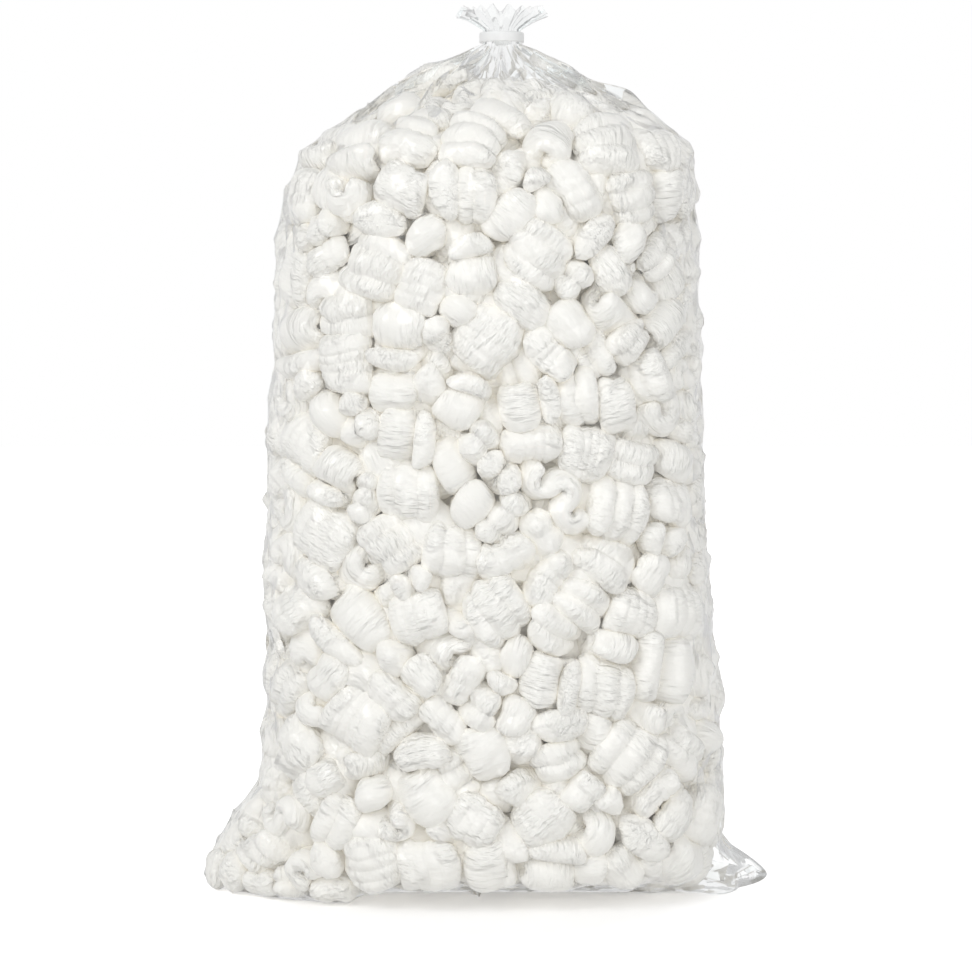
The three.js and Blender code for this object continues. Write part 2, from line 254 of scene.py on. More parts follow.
def body_radius(form, cosine, sine, height, right_reach):
    """The bag's radius from the floor to the shoulder, with its rounded foot and its two ears."""
    rise = share_of(height, form.foot_round, form.shoulder_height)
    swell = np.sqrt(1 - (1 - share_of(height, 0, form.foot_round)) ** 2)
    width = mix(mix(form.foot_width, form.belly_width, swell), form.shoulder_width, rise)
    depth = mix(mix(form.foot_depth, form.belly_depth, swell), form.shoulder_depth, rise)
    left = cosine < 0
    ear_height = np.where(left, form.left_ear_height, form.right_ear_height)
    reach = np.where(left, form.left_ear_reach, right_reach)
    out = 1 - share_of(height, form.ear_tip, ear_height) ** form.ear_fullness
    out = np.where(reach > 0, out - 0.36 * (1 - share_of(height, 0, form.ear_tip)) ** 2, 0)
    tip = mix(width / 2, form.belly_width / 2 + reach, out)
    fade = np.exp(-((sine / form.ear_spread) ** 2))
    return section_radius(form, cosine, sine, width, depth) + (tip - width / 2) * fade


def shoulder_share(form, height, top, curve):
    """The share of the shoulder's radius that is left on the way up to a top."""
    return np.cos(QUARTER * share_of(height, form.shoulder_height, top) ** curve)


def axis_at(form, height):
    """The bag's axis sways from the middle of its foot over its waist to its neck."""
    waist = mix(body_shift(form), form.waist_shift, smooth_share(height, 50 * MM, 220 * MM))
    return mix(waist, form.neck_shift, smooth_share(height, 335 * MM, 385 * MM))


def foot_lift(form, across, deep):
    """How far the foot is off the floor: its front edge arches a little in the middle."""
    front = smooth_share(-deep, 8 * MM, 42 * MM)
    middle = smooth_share(across, -75 * MM, -45 * MM) * smooth_share(-across, -125 * MM, -95 * MM)
    return form.front_lift * front * middle


# Chips


def ribbon_line(kind):
    """The middle line of a chip's ribbon in its own plane: straight ends and arcs, eased together."""
    bend = kind.bend * MM
    runs = [kind.lead * MM, *(abs(math.radians(turn)) * bend for turn in kind.turns), kind.lead * MM]
    curves = np.array([0, *(math.copysign(1 / bend, turn) for turn in kind.turns), 0])
    whole = sum(runs)
    along = (np.arange(LINE_POINTS) + 0.5) / LINE_POINTS * whole
    curve = curves[np.minimum(np.searchsorted(np.cumsum(runs), along), len(runs) - 1)]
    ease = LINE_POINTS // (8 * len(kind.turns))
    window = np.ones(2 * ease + 1) / (2 * ease + 1)
    gradual = np.convolve(np.pad(curve, ease, mode="edge"), window, "valid")
    step = whole / LINE_POINTS
    heading = np.cumsum(gradual) * step
    line = np.stack([np.cumsum(np.cos(heading)), np.cumsum(np.sin(heading))], 1) * step
    line -= line.mean(0)
    longest = np.linalg.svd(line, full_matrices=False)[2]
    return line @ longest.T, whole


def chip_balls(kind):
    """Balls that fill a chip's ribbon, for heaping it: their places in the chip and their radius."""
    line, whole = ribbon_line(kind)
    half = kind.half * MM
    count = max(2, round(whole / (1.15 * half)))
    ends = half / whole * LINE_POINTS
    picks = np.linspace(ends, LINE_POINTS - 1 - ends, count).astype(int)
    reach = max(kind.width * MM / 2 - half, 0)
    across = np.linspace(-reach, reach, math.ceil(2 * reach / (1.3 * half)) + 1)
    places = np.array([[*line[i], shift] for i in picks for shift in across])
    return places, half


def waves(dice, first, second, counts, spans):
    """A sum of waves over two coordinates, from -1 to 1 or so, with dice for their lengths and phases."""
    total = 0
    for _ in range(counts):
        lengths = [span * dice.uniform(0.7, 1.5) * dice.choice([-1, 1]) for span in spans]
        total = total + np.sin(FULL_TURN * (first / lengths[0] + second / lengths[1] + dice.random()))
    return total / math.sqrt(counts)


def chip_outline(reach, half, steps):
    """A section of the ribbon, broad with round edges: its points, and which way each one faces."""
    round_edge = np.linspace(-QUARTER, QUARTER, steps.edge + 1)
    flat = np.linspace(1, -1, steps.side + 1)[1:-1] * (reach - half)
    edge = [(reach - half + half * math.cos(t), half * math.sin(t), t) for t in round_edge]
    side = [(x, half, QUARTER) for x in flat]
    back = [(-x, -y, t + math.pi) for x, y, t in edge + side]
    return np.array(edge + side + back)


def chip_mesh(name, kind, dice, steps):
    """One chip: a fluted ribbon with round edges and puffed ends, folded to its S, with a lumpy skin."""
    line, whole = ribbon_line(kind)
    half, reach = kind.half * MM, kind.width * MM / 2
    cap = 0.9 * half
    tips = cap * (1 - np.cos(np.linspace(0.25, 1, steps.end) * QUARTER))
    body = np.linspace(cap, whole - cap, steps.ribbon + 1)
    along = np.concatenate([tips[:-1], body, whole - tips[-2::-1]])
    place = along / whole * (LINE_POINTS - 1)
    index = np.arange(LINE_POINTS)
    middle = np.stack([np.interp(place, index, line[:, k]) for k in (0, 1)], 1)
    run = np.gradient(line, axis=0)
    run = np.stack([np.interp(place, index, run[:, k]) for k in (0, 1)], 1)
    run /= np.linalg.norm(run, axis=1)[:, None]
    facing = np.stack([-run[:, 1], run[:, 0]], 1)

    near_end = np.minimum(along, whole - along) / cap
    full = np.sqrt(1 - (1 - np.minimum(near_end, 1)) ** 2)[:, None]
    across, thick, turned = (column[None, :] for column in chip_outline(reach, half, steps).T)
    lengthwise = along[:, None]
    off_middle = (across / reach) ** 2
    still = 0 * lengthwise
    swell = 1.04 + 0.06 * waves(dice, lengthwise, still, 2, (26 * MM, 1)) - 0.3 * off_middle
    spread = 1 + 0.05 * waves(dice, lengthwise, still, 2, (34 * MM, 1))
    skew = 1.3 * MM * waves(dice, lengthwise, still, 1, (60 * MM, 1))
    lumps = 0.45 * MM * waves(dice, across, lengthwise, 5, (18 * MM, 13 * MM))
    sway = 0.08 * waves(dice, across, still, 2, (22 * MM, 1))
    rib = np.abs(np.sin(math.pi * (lengthwise / (kind.pitch * MM) + dice.normal(0, 0.05) + sway))) ** 0.7
    grooves = kind.flute * MM * (rib - 1) * mix(0.55, 1, np.abs(np.sin(turned)))
    skin = (lumps + grooves) * full
    thick = thick * swell * full
    across = across * (1 - (1 - full) * 0.6 * half / reach) * spread + skew
    skin_place = np.stack(np.broadcast_arrays(lengthwise, across, thick), -1)
    thick = thick + skin * np.sin(turned)
    across = across + skin * np.cos(turned)

    plane = middle[:, None, :] + facing[:, None, :] * thick[..., None]
    lean = across / reach
    drawn_in = (1 - 0.07 * off_middle) * (1 + dice.uniform(-0.12, 0.12) * lean)
    twist = dice.uniform(-0.2, 0.2) * lean
    bow = dice.uniform(-1.5, 1.5, 2) * MM * off_middle[..., None]
    turned_plane = [np.cos(twist) * plane[..., 0] - np.sin(twist) * plane[..., 1]]
    turned_plane += [np.sin(twist) * plane[..., 0] + np.cos(twist) * plane[..., 1]]
    points = np.empty((*thick.shape, 3))
    points[..., :2] = np.stack(turned_plane, -1) * drawn_in[..., None] + bow
    points[..., 2] = across

    rows, columns = thick.shape
    ends = ((0, -1), (-1, 1))
    tip_points = [points[end].mean(0) + [*(run[end] * way * tips[0] * 0.6), 0] for end, way in ends]
    grid = np.arange(rows * columns).reshape(rows, columns)
    ahead = np.roll(grid, -1, axis=1)
    squares = np.stack([grid[:-1], grid[1:], ahead[1:], ahead[:-1]], -1).reshape(-1, 4)
    first, last = np.full(columns, rows * columns), np.full(columns, rows * columns + 1)
    first_fan = np.stack([first, grid[0], ahead[0]], 1)
    last_fan = np.stack([last, ahead[-1], grid[-1]], 1)
    fans = np.concatenate([first_fan, last_fan])
    mesh = bpy.data.meshes.new(name)
    vertices = np.concatenate([points.reshape(-1, 3), tip_points])
    mesh.from_pydata(vertices.tolist(), [], squares.tolist() + fans.tolist(), shade_flat=False)

    # Where each point lies on the ribbon, in metres along it, across it and through it
    tip_skin = [skin_place[end].mean(0) for end, _ in ends]
    skin_place = np.concatenate([skin_place.reshape(-1, 3), tip_skin])
    skin_map = mesh.attributes.new("skin", "FLOAT_VECTOR", "POINT")
    skin_map.data.foreach_set("vector", skin_place.astype(np.float32).ravel())
    return mesh


def heap_radius(form, stock, cosine, sine, height):
    """The heap's radius, up to the dome of chips under the gathered film. The right ear holds none."""
    wall = body_radius(form, cosine, sine, np.minimum(height, form.shoulder_height), 0)
    return wall * np.maximum(shoulder_share(form, height, stock.heap_height, stock.heap_curve), 0.02)


def wall_of_heap(form, stock, points):
    """How far each point is inside the heap's wall, and the way from the wall to it."""

    def depth_in(place):
        across = place[:, 0] - axis_at(form, place[:, 2])
        radius = np.hypot(across, place[:, 1]) + 1e-9
        return radius / heap_radius(form, stock, across / radius, place[:, 1] / radius, place[:, 2])

    step = 0.5 * MM
    here = depth_in(points)
    slope = np.stack([(depth_in(points + aside) - here) / step for aside in np.eye(3) * step], 1)
    steep = np.linalg.norm(slope, axis=1) + 1e-9
    return (1 - here) / steep, -slope / steep[:, None]


def turn_matrices(quaternions):
    w, x, y, z = quaternions.T
    rows = [
        [1 - 2 * (y * y + z * z), 2 * (x * y - w * z), 2 * (x * z + w * y)],
        [2 * (x * y + w * z), 1 - 2 * (x * x + z * z), 2 * (y * z - w * x)],
        [2 * (x * z - w * y), 2 * (y * z + w * x), 1 - 2 * (x * x + y * y)],
    ]
    return np.stack([np.stack(row, -1) for row in rows], -2)


def turn_after(quaternions, spin):
    """The quaternions turned on by small rotation vectors."""
    angle = np.linalg.norm(spin, axis=1)[:, None] + 1e-12
    a = np.concatenate([np.cos(angle / 2), spin / angle * np.sin(angle / 2)], 1)
    b = quaternions
    scalar = a[:, :1] * b[:, :1] - (a[:, 1:] * b[:, 1:]).sum(1, keepdims=True)
    vector = a[:, :1] * b[:, 1:] + b[:, :1] * a[:, 1:] + np.cross(a[:, 1:], b[:, 1:])
    turned = np.concatenate([scalar, vector], 1)
    return turned / np.linalg.norm(turned, axis=1)[:, None]


def near_pairs(points, owner, reach):
    """Pairs of points of different owners that lie within reach of each other."""
    cell = np.floor((points - points.min(0)) / reach).astype(np.int64) + 1
    size = cell.max(0) + 2
    key = (cell[:, 0] * size[1] + cell[:, 1]) * size[2] + cell[:, 2]
    order = np.argsort(key, kind="stable")
    key = key[order]
    either = (-1, 0, 1)
    steps = [(x, y, z) for x in either for y in either for z in either if (x, y, z) >= (0, 0, 0)]
    first, second = [], []
    for x, y, z in steps:
        target = key + (x * size[1] + y) * size[2] + z
        start = np.searchsorted(key, target, "left")
        if (x, y, z) == (0, 0, 0):
            start = np.arange(len(key)) + 1
        count = np.maximum(np.searchsorted(key, target, "right") - start, 0)
        one = np.repeat(np.arange(len(key)), count)
        other = np.arange(len(one)) + np.repeat(start - np.cumsum(count) + count, count)
        first.append(order[one])
        second.append(order[other])
    a, b = np.concatenate(first), np.concatenate(second)
    close = (owner[a] != owner[b]) & (((points[a] - points[b]) ** 2).sum(1) < reach * reach)
    return a[close], b[close]


def gathered(index, vectors, count):
    return np.stack([np.bincount(index, vectors[:, k], count) for k in range(3)], 1)


def repeatable(seed):
    """The solid's own series of numbers from -1 to 1."""
    while True:
        seed = seed * 16807 % (2**31 - 1)
        yield 2 * seed / (2**31 - 1) - 1


def row_places(form, stock):
    """Where the rows of outer chips touch the heap's wall, and how far each chip stands behind it."""
    climb = (math.acos(DOME_CAP) / QUARTER) ** (1 / stock.heap_curve)
    fine = np.linspace(0.8 * MM, mix(form.shoulder_height, stock.heap_height, climb), 2000)
    front = heap_radius(form, stock, 0 * fine, 0 * fine - 1, fine)
    run = np.concatenate([[0], np.cumsum(np.hypot(np.diff(front), np.diff(fine)))])
    line_heights = np.interp(np.linspace(0, run[-1], LINES * CHIP_ROWS + 1), run, fine)
    angles = even_angles(form, COLUMNS * CHIPS_AROUND)

    row, chip = (part.ravel() for part in np.mgrid[:CHIP_ROWS, :CHIPS_AROUND])
    turn = COLUMNS * (chip + 0.5) - (row % 2) * STAGGER
    line = LINES * (row + 0.5)
    high = line / (LINES * CHIP_ROWS)

    def wave(round_it, twist):
        return np.sin(FULL_TURN * round_it * turn / (COLUMNS * CHIPS_AROUND) + twist * high)

    fade = np.sin(math.pi * high) / 2
    turn = turn + fade * COLUMN_WANDER * COLUMNS * (wave(5, 31) + wave(8, -47))
    line = line + fade * ROW_WANDER * LINES * (wave(7, 25) + wave(11, -37))
    angle = np.interp(turn % len(angles), np.arange(len(angles) + 1), np.append(angles, FULL_TURN))
    height = np.interp(line, np.arange(len(line_heights)), line_heights)
    radius = heap_radius(form, stock, np.cos(angle), np.sin(angle), height)
    places = np.stack([axis_at(form, height) + radius * np.cos(angle), radius * np.sin(angle), height], 1)
    series = repeatable(7)
    stand = [[next(series) for _ in range(3)][2] for _ in places]
    return places, CHIP_STAND * np.abs(stand)


def chip_depth(kind, end_on):
    """How deep a chip lies in from the wall, seen end on or from its broad side."""
    return kind.width * MM if end_on else 2 * kind.half * MM


def outer_chips(form, stock, kinds, sizes, dice):
    """Places and turns for the outer chips, each with its end or its broad side to the film."""
    places, stand = row_places(form, stock)
    inward = wall_of_heap(form, stock, places)[1]
    turns = []
    for i, (kind, size, way) in enumerate(zip(kinds, sizes, inward)):
        folded = abs(CHIP_KINDS[kind].turns[0]) > 90
        end_on = folded and dice.random() < 0.4
        places[i] += way * (2 * MM + stand[i] + chip_depth(CHIP_KINDS[kind], end_on) / 2 * size)
        out = Vector(-way)
        up = Vector((0, 0, 1)) - out * out.z
        up = (up.normalized() if up.length > 0.1 else Vector((0, 1, 0))).copy()
        up.rotate(Quaternion(out, dice.uniform(0, FULL_TURN)))
        side = out.cross(up).normalized()
        axes = (up, side, out) if end_on else (up, out, up.cross(out))
        lean = Quaternion(Vector(dice.normal(size=3)).normalized(), dice.normal(0, 0.18))
        turns.append(lean @ Matrix(axes).transposed().to_quaternion())
    return places, np.array(turns)


def first_places(form, stock, places, dice):
    """Scattered places inside the heap for the other chips, none too near another."""
    low = np.array([FILM_LOW.x, FILM_LOW.y, 0])
    high = np.array([FILM_HIGH.x, FILM_HIGH.y, stock.heap_height])
    throws = dice.uniform(low, high, size=(160000, 3))
    throws = throws[wall_of_heap(form, stock, throws)[0] > 9 * MM]
    apart = 19 * MM
    for tried, throw in enumerate(throws):
        if tried % 4000 == 3999:
            apart *= 0.93
        if ((places - throw) ** 2).sum(1).min() > apart * apart:
            places = np.vstack([places, throw])
        if len(places) == stock.count:
            return places
    raise RuntimeError("the bag is too small for its chips")


def heap_chips(form, stock):
    """Lets the chips swell to their full size inside the bag and push each other into place."""
    dice = np.random.default_rng(stock.seed)
    count, rounds = stock.count, HEAP_ROUNDS
    shares = np.array([kind.share for kind in CHIP_KINDS], float)
    kinds = dice.choice(len(CHIP_KINDS), count, p=shares / shares.sum())
    sizes = dice.uniform(0.8, 1.08, count)
    edge = body_shift(form) - form.belly_width / 2
    in_ear = np.array([(edge - out * form.left_ear_reach, deep, up) for out, deep, up in EAR_PLACES])
    kinds[: len(in_ear)] = len(CHIP_KINDS) - 1
    sizes[: len(in_ear)] = 0.85
    outer = slice(len(in_ear), len(in_ear) + CHIP_ROWS * CHIPS_AROUND)
    turn = dice.normal(size=(count, 4))
    turn /= np.linalg.norm(turn, axis=1)[:, None]
    home, turn[outer] = outer_chips(form, stock, kinds[outer], sizes[outer], dice)
    centre = first_places(form, stock, np.vstack([in_ear, home]), dice)
    balls = [chip_balls(kind) for kind in CHIP_KINDS]
    owner = np.repeat(np.arange(count), [len(balls[kind][0]) for kind in kinds])
    offset = np.concatenate([balls[kind][0] * size for kind, size in zip(kinds, sizes)])
    radius = np.array([balls[kind][1] for kind in kinds])[owner] * sizes[owner]

    for step in range(rounds):
        grown = mix(SMALLEST, 1, min(1, step / (SWELLING * rounds)))
        arm = np.einsum("nij,nj->ni", turn_matrices(turn)[owner], offset) * grown
        ball = centre[owner] + arm
        if step % 6 == 0:
            a, b = near_pairs(ball, owner, 2 * radius.max() * grown + 2 * MM)
        apart = ball[a] - ball[b]
        distance = np.linalg.norm(apart, axis=1) + 1e-9
        deep = (radius[a] + radius[b]) * grown - distance
        hit = deep > 0
        push = apart[hit] * (0.5 * deep[hit] / distance[hit])[:, None]
        move = gathered(a[hit], push, len(ball)) - gathered(b[hit], push, len(ball))
        inside, inward = wall_of_heap(form, stock, np.vstack([ball, centre]))
        near = 1 - smooth_share(inside[len(ball) :], 22 * MM, 45 * MM)
        pressed = -inward[len(ball) :] * (near * stock.press * share_of(step / rounds, 0.35, 0.55))[:, None]
        inside, inward = inside[: len(ball)], inward[: len(ball)]
        past = np.maximum(radius * grown + WALL_CLEAR - inside, 0)
        floor = foot_lift(form, ball[:, 0], ball[:, 1]) + 0.6 * MM
        sunk = np.maximum(radius * grown + floor - ball[:, 2], 0)
        move = move + inward * past[:, None]
        move[:, 2] += sunk
        touches = np.bincount(a[hit], minlength=len(ball)) + np.bincount(b[hit], minlength=len(ball))
        touches = touches + (past > 0) + (sunk > 0)
        crowd = np.maximum(np.bincount(owner, touches, count), 2)
        centre = centre + gathered(owner, move, count) * (1.5 / crowd)[:, None] + pressed
        centre[outer] += (home - centre[outer]) * stock.hold
        lever = np.bincount(owner, (arm**2).sum(1) * touches, count) + 1e-9
        spin = gathered(owner, np.cross(arm, move), count) * (1.5 / lever)[:, None]
        fast = np.linalg.norm(spin, axis=1)
        turn = turn_after(turn, spin * np.minimum(1, TOP_SPEED / np.maximum(fast, 1e-9))[:, None])
    picks = kinds * CHIPS_OF_A_KIND + dice.integers(0, CHIPS_OF_A_KIND, count)
    deep = wall_of_heap(form, stock, centre)[0]
    picks = np.where(deep > HIDDEN, len(CHIP_KINDS) * CHIPS_OF_A_KIND + kinds, picks)
    reach = np.zeros(count)
    np.maximum.at(reach, owner, np.linalg.norm(offset, axis=1) + radius)
    sizes = sizes * np.clip((deep - MM) / reach, stock.squeeze, stock.crush)
    return centre, turn, picks, sizes, dice.random(count)


def lowest_points(meshes, turn, picks, sizes):
    """How far each chip reaches below its centre."""
    low = np.empty(len(picks))
    for number, mesh in enumerate(meshes):
        points = np.empty(len(mesh.vertices) * 3, np.float32)
        mesh.vertices.foreach_get("co", points)
        own = picks == number
        low[own] = (turn_matrices(turn[own])[:, 2] @ points.reshape(-1, 3).T).min(1) * sizes[own]
    return low


# Nodes and materials


def add(tree, kind, inputs=None, **settings):
    """Adds a node with its settings. An input is given a value, or linked to another node's output."""
    new = tree.nodes.new(kind)
    for name, value in settings.items():
        setattr(new, name, value)
    for key, value in (inputs or {}).items():
        if isinstance(value, bpy.types.NodeSocket):
            tree.links.new(value, new.inputs[key])
        else:
            new.inputs[key].default_value = value
    return new


def new_material(name):
    material = bpy.data.materials.new(name)
    material.use_nodes = True
    material.node_tree.nodes.clear()
    return material


def expanded_polystyrene(stock):
    """Extruded and puffed foam: a dull white skin, drawn into wrinkles that run along the ribbon."""
    material = new_material("expanded_polystyrene")
    tree = material.node_tree
    skin = add(tree, "ShaderNodeAttribute", attribute_name="skin")
    own = add(tree, "ShaderNodeAttribute", attribute_name="tone")
    moved = add(tree, "ShaderNodeVectorMath", {0: own.outputs["Vector"], "Scale": 0.7}, operation="SCALE")
    place = add(
        tree, "ShaderNodeVectorMath", {0: skin.outputs["Vector"], 1: moved.outputs[0]}, operation="ADD"
    ).outputs[0]
    # Wrinkles 6.5 mm long along the ribbon, 3 mm apart across it and 4 mm through it
    wrinkle = (1 / (6.5 * MM), 1 / (3 * MM), 1 / (4 * MM))
    drawn = add(tree, "ShaderNodeMapping", {"Vector": place, "Scale": wrinkle})
    wrinkles = add(
        tree,
        "ShaderNodeTexNoise",
        {"Vector": drawn.outputs[0], "Scale": 1.0, "Detail": 2.0, "Roughness": 0.55},
    )
    # They gather in patches about 13 mm wide.
    patches = add(
        tree, "ShaderNodeTexNoise", {"Vector": place, "Scale": 1 / (13 * MM), "Detail": 0.0}
    )
    puckered = add(
        tree,
        "ShaderNodeMapRange",
        {"Value": patches.outputs["Fac"], "From Min": 0.38, "From Max": 0.58, "To Min": 0.3, "To Max": 1.0},
    )
    height = add(
        tree, "ShaderNodeMath", {0: wrinkles.outputs["Fac"], 1: puckered.outputs[0]}, operation="MULTIPLY"
    )
    bump = add(tree, "ShaderNodeBump", {"Height": height.outputs[0], "Strength": 1.0, "Distance": 3.5 * MM})
    shader = add(
        tree,
        "ShaderNodeBsdfPrincipled",
        {
            "Base Color": stock.foam,
            "Roughness": 0.45,
            "IOR": 1.45,
            "Specular IOR Level": 0.4,
            "Normal": bump.outputs[0],
        },
    )
    add(tree, "ShaderNodeOutputMaterial", {"Surface": shader.outputs[0]})
    return material


def polyethylene_film(stock):
    """Thin blown film: clear face on, greyer where it turns away, with sharp glints on its crinkles."""
    material = new_material("polyethylene_film")
    tree = material.node_tree
    place = add(tree, "ShaderNodeTexCoord").outputs["Object"]
    # Crinkles 7 mm wide and 11 mm high
    crinkle = (1 / (7 * MM), 1 / (7 * MM), 1 / (11 * MM))
    drawn = add(tree, "ShaderNodeMapping", {"Vector": place, "Scale": crinkle})
    facets = add(tree, "ShaderNodeTexVoronoi", {"Vector": drawn.outputs[0], "Scale": 1.0})
    slack = add(tree, "ShaderNodeAttribute", attribute_name="slack")
    either_way = add(
        tree, "ShaderNodeVectorMath", {0: facets.outputs["Color"], 1: (0.5, 0.5, 0.5)}, operation="SUBTRACT"
    )
    tilt = add(
        tree,
        "ShaderNodeVectorMath",
        {0: either_way.outputs[0], "Scale": slack.outputs["Fac"]},
        operation="SCALE",
    )
    smooth = add(tree, "ShaderNodeNewGeometry").outputs["Normal"]
    tilted = add(tree, "ShaderNodeVectorMath", {0: smooth, 1: tilt.outputs[0]}, operation="ADD")
    crinkled = add(tree, "ShaderNodeVectorMath", {0: tilted.outputs[0]}, operation="NORMALIZE").outputs[0]
    edge = add(tree, "ShaderNodeLayerWeight", {"Blend": 0.5, "Normal": crinkled})
    steep = add(tree, "ShaderNodeMath", {0: edge.outputs["Facing"], 1: 3.0}, operation="POWER")
    haze = add(
        tree,
        "ShaderNodeMapRange",
        {"Value": steep.outputs[0], "From Min": 0.0, "From Max": 1.0, "To Min": 0.04, "To Max": 0.22},
    )
    clear = add(tree, "ShaderNodeBsdfTransparent", {"Color": stock.tint})
    near = add(tree, "ShaderNodeBsdfDiffuse", {"Color": linear("E8EAEC"), "Normal": crinkled})
    far = add(tree, "ShaderNodeBsdfTranslucent", {"Color": linear("E8EAEC"), "Normal": crinkled})
    veil = add(tree, "ShaderNodeMixShader", {0: 0.5, 1: near.outputs[0], 2: far.outputs[0]})
    body = add(tree, "ShaderNodeMixShader", {0: haze.outputs[0], 1: clear.outputs[0], 2: veil.outputs[0]})
    gloss = add(
        tree, "ShaderNodeBsdfGlossy", {"Color": linear("FFFFFF"), "Roughness": 0.16, "Normal": crinkled}
    )
    mirror = add(tree, "ShaderNodeFresnel", {"IOR": 1.5, "Normal": crinkled})
    surface = add(
        tree, "ShaderNodeMixShader", {0: mirror.outputs[0], 1: body.outputs[0], 2: gloss.outputs[0]}
    )
    add(tree, "ShaderNodeOutputMaterial", {"Surface": surface.outputs[0]})
    return material


def heap_tree(material):
    """Geometry nodes that put a chip on each point, turned and sized as the point says."""
    tree = bpy.data.node_groups.new("Heap of chips", "GeometryNodeTree")
    tree.interface.new_socket("Points", in_out="INPUT", socket_type="NodeSocketGeometry")
    chips = tree.interface.new_socket("Chips", in_out="INPUT", socket_type="NodeSocketCollection")
    tree.interface.new_socket("Heap", in_out="OUTPUT", socket_type="NodeSocketGeometry")
    start = add(tree, "NodeGroupInput")
    stock = add(
        tree,
        "GeometryNodeCollectionInfo",
        {"Collection": start.outputs["Chips"], "Separate Children": True},
    )
    kind = add(tree, "GeometryNodeInputNamedAttribute", {"Name": "kind"}, data_type="INT")
    turn = add(tree, "GeometryNodeInputNamedAttribute", {"Name": "turn"}, data_type="QUATERNION")
    size = add(tree, "GeometryNodeInputNamedAttribute", {"Name": "size"}, data_type="FLOAT")
    placed = add(
        tree,
        "GeometryNodeInstanceOnPoints",
        {
            "Points": start.outputs["Points"],
            "Instance": stock.outputs[0],
            "Pick Instance": True,
            "Instance Index": kind.outputs["Attribute"],
            "Rotation": turn.outputs["Attribute"],
            "Scale": size.outputs["Attribute"],
        },
    )
    real = add(tree, "GeometryNodeRealizeInstances", {"Geometry": placed.outputs[0]})
    dressed = add(tree, "GeometryNodeSetMaterial", {"Geometry": real.outputs[0], "Material": material})
    add(tree, "NodeGroupOutput", {"Heap": dressed.outputs[0]})
    return tree, chips.identifier


def link(name, mesh):
    piece = bpy.data.objects.new(name, mesh)
    bpy.context.scene.collection.objects.link(piece)
    return piece


def heap_piece(name, tree, chips_input, chips, places, turns, kinds, sizes, tones):
    """One plain mesh of the chips at these places."""
    points = bpy.data.meshes.new(name)
    points.from_pydata(places.tolist(), [], [])
    for label, kind, values in (
        ("turn", "QUATERNION", turns),
        ("kind", "INT", kinds),
        ("size", "FLOAT", sizes),
        ("tone", "FLOAT", tones),
    ):
        attribute = points.attributes.new(label, kind, "POINT")
        attribute.data.foreach_set("value", np.ascontiguousarray(values).ravel())
    piece = link(name, points)
    heap = piece.modifiers.new("Heap", "NODES")
    heap.node_group = tree
    heap[chips_input] = chips
    depsgraph = bpy.context.evaluated_depsgraph_get()
    mesh = bpy.data.meshes.new_from_object(piece.evaluated_get(depsgraph))
    mesh.name = name
    piece.modifiers.remove(heap)
    piece.data = mesh
    bpy.data.meshes.remove(points)
    return piece


class PACKING_OT_chips(bpy.types.Operator):
    """Heaps the chips in the bag"""

    bl_idname = "packing.chips"
    bl_label = "Heap chips"

    def execute(self, context):
        form, stock = context.scene.bag_form, context.scene.chip_stock
        dice = np.random.default_rng(stock.seed + 1)
        chips = bpy.data.collections.new("chip_stock")
        stocked = [(kind, FINE) for kind in CHIP_KINDS for _ in range(CHIPS_OF_A_KIND)]
        stocked += [(kind, COARSE) for kind in CHIP_KINDS]
        meshes = [chip_mesh(f"chip_{i:02d}", kind, dice, steps) for i, (kind, steps) in enumerate(stocked)]
        for mesh in meshes:
            chips.objects.link(bpy.data.objects.new(mesh.name, mesh))
        tree, chips_input = heap_tree(expanded_polystyrene(stock))
        centre, turn, kinds, sizes, tones = heap_chips(form, stock)
        floor = foot_lift(form, centre[:, 0], centre[:, 1]) + 0.7 * MM
        clear = floor - centre[:, 2] - lowest_points(meshes, turn, kinds, sizes)
        centre[:, 2] += np.maximum(clear, 0)
        edges = np.quantile(centre[:, 2], np.linspace(0, 1, len(BANDS) + 1)[1:-1])
        band = np.searchsorted(edges, centre[:, 2])
        for number, label in enumerate(BANDS):
            pick = band == number
            placed = (values[pick] for values in (centre, turn, kinds, sizes, tones))
            piece = heap_piece(f"chips_{label}", tree, chips_input, chips, *placed)
            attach(piece, "root")
            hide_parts("chip_fill")
        for chip in list(chips.objects):
            bpy.data.objects.remove(chip)
        bpy.data.collections.remove(chips)
        return {"FINISHED"}


# Film


def film_radius(form, angle, height):
    """The slack film's radius at any height up to the mouth, before it is folded."""
    low = np.minimum(height, form.shoulder_height)
    body = body_radius(form, np.cos(angle), np.sin(angle), low, form.right_ear_reach)
    flare = share_of(height, form.neck_top, form.mouth_height)
    neck = mix(form.neck_width, form.mouth_width, flare) / 2
    return mix(neck, body, shoulder_share(form, height, form.neck_bottom, form.shoulder_curve))


def film_heights(form):
    """Heights of the film's rows, evenly spaced along its wall up to the neck."""
    fine = np.linspace(0, form.neck_bottom, 2000)
    radius = film_radius(form, np.full_like(fine, 0.7), fine)
    run = np.concatenate([[0], np.cumsum(np.hypot(np.diff(radius), np.diff(fine)))])
    wall = np.interp(np.linspace(0, run[-1], WALL_ROWS), run, fine)
    neck = np.linspace(form.neck_bottom, form.neck_top, NECK_ROWS + 1)[1:]
    tuft = np.linspace(form.neck_top, form.mouth_height, TUFT_ROWS + 1)[1:]
    return np.concatenate([wall, neck, tuft])


